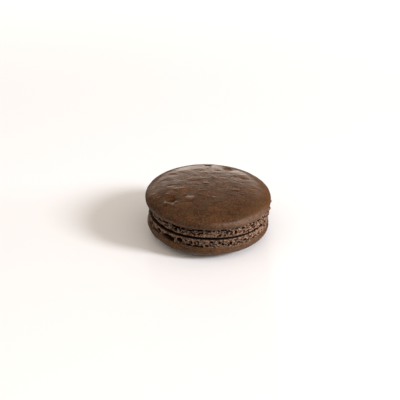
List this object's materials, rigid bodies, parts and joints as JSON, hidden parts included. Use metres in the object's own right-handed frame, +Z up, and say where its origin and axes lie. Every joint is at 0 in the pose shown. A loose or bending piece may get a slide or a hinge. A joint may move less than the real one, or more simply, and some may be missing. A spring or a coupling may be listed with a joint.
{
  "type": "macaron",
  "caption": "Round chocolate macaron: a thin dark filling between two domed almond biscuit shells, each with a frilly porous foot.",
  "frame": {"origin": "on the surface it rests on, under the middle of the macaron's box", "axes": "+Z up through the layers; the pictured view looks along +Y and down, with +X to the right"},
  "size_m": [0.045, 0.045, 0.0183],
  "materials": {
    "baked_shell": "satin baked cocoa and almond skin, with a matte open crumb on the foot",
    "filling": "soft dark chocolate filling, satin"
  },
  "bodies": {
    "root": {"lower_shell": "baked_shell", "filling": "filling", "upper_shell": "baked_shell"}
  },
  "joints": []
}
